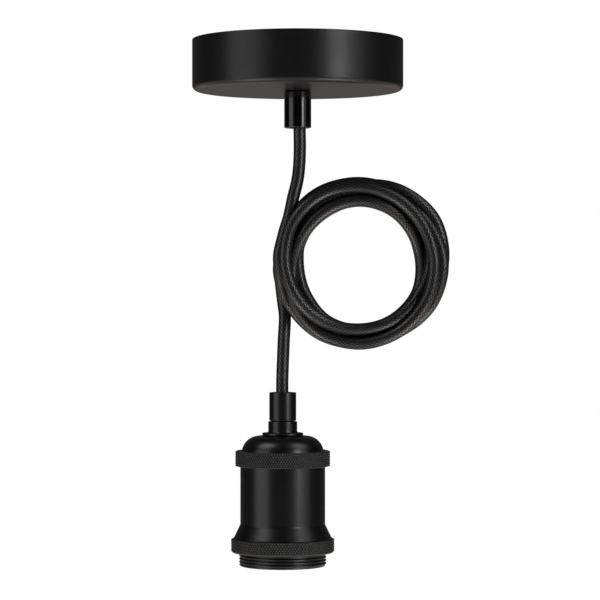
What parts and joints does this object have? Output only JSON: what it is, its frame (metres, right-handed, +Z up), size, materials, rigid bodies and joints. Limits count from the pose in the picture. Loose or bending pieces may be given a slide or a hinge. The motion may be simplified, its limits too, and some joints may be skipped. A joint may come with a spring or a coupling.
{
  "type": "pendant light",
  "caption": "Black pendant light with a round ceiling cup, a coiled textile cord and a metal lampholder with knurled rings and a threaded end.",
  "frame": {"origin": "middle of the ceiling strap's top face, which lies against the ceiling", "axes": "+Z up, out of the strap's top face; +X to the right as the coil is seen; +Y away from the viewer"},
  "size_m": [0.1213, 0.1, 0.2491],
  "materials": {
    "powder_coat": "satin black powder coat",
    "satin_black": "satin black over turned metal",
    "knurled_black": "matt black over fine diamond knurling",
    "gloss_plastic": "gloss black moulded plastic",
    "black_textile": "fine black textile braid",
    "zinc_steel": "zinc-plated steel",
    "black_screw": "blackened steel",
    "brass": "plain brass",
    "nickel": "nickel-plated sheet",
    "nylon": "natural white nylon",
    "ceramic": "glazed white ceramic",
    "live_brown": "brown insulation",
    "neutral_blue": "blue insulation",
    "earth_green": "green and yellow insulation"
  },
  "bodies": {
    "root": {"canopy": "powder_coat", "lower_grip": "satin_black", "neck_bush": "satin_black", "dome_cap": "satin_black", "body_shell": "satin_black", "upper_ring": "knurled_black", "shade_ring": "knurled_black", "upper_grip": "gloss_plastic", "upper_grip_screw": "gloss_plastic", "cord_upper": "black_textile", "cord_coil": "black_textile", "cord_lower": "black_textile", "ceiling_bracket": "zinc_steel", "upper_washer": "zinc_steel", "upper_locknut": "zinc_steel", "terminal_block_screw": "zinc_steel", "cap_nut": "zinc_steel", "canopy_screw_left": "black_screw", "canopy_screw_right": "black_screw", "lower_grip_screw": "black_screw", "terminal_tube_live": "brass", "terminal_tube_neutral": "brass", "clamp_screw_live_in": "brass", "clamp_screw_live_out": "brass", "clamp_screw_neutral_in": "brass", "clamp_screw_neutral_out": "brass", "ceiling_earth_screw": "brass", "centre_contact": "brass", "contact_rivet": "brass", "shell_rivet_front": "brass", "shell_rivet_back": "brass", "terminal_plate_live": "brass", "terminal_plate_neutral": "brass", "terminal_screw_live": "brass", "terminal_screw_neutral": "brass", "holder_earth_screw": "brass", "ceiling_earth_lug": "nickel", "screw_shell": "nickel", "holder_earth_tag": "nickel", "terminal_block": "nylon", "insert": "ceramic", "upper_core_live": "live_brown", "lower_core_live": "live_brown", "upper_core_neutral": "neutral_blue", "lower_core_neutral": "neutral_blue", "upper_core_earth": "earth_green", "lower_core_earth": "earth_green"}
  },
  "joints": []
}
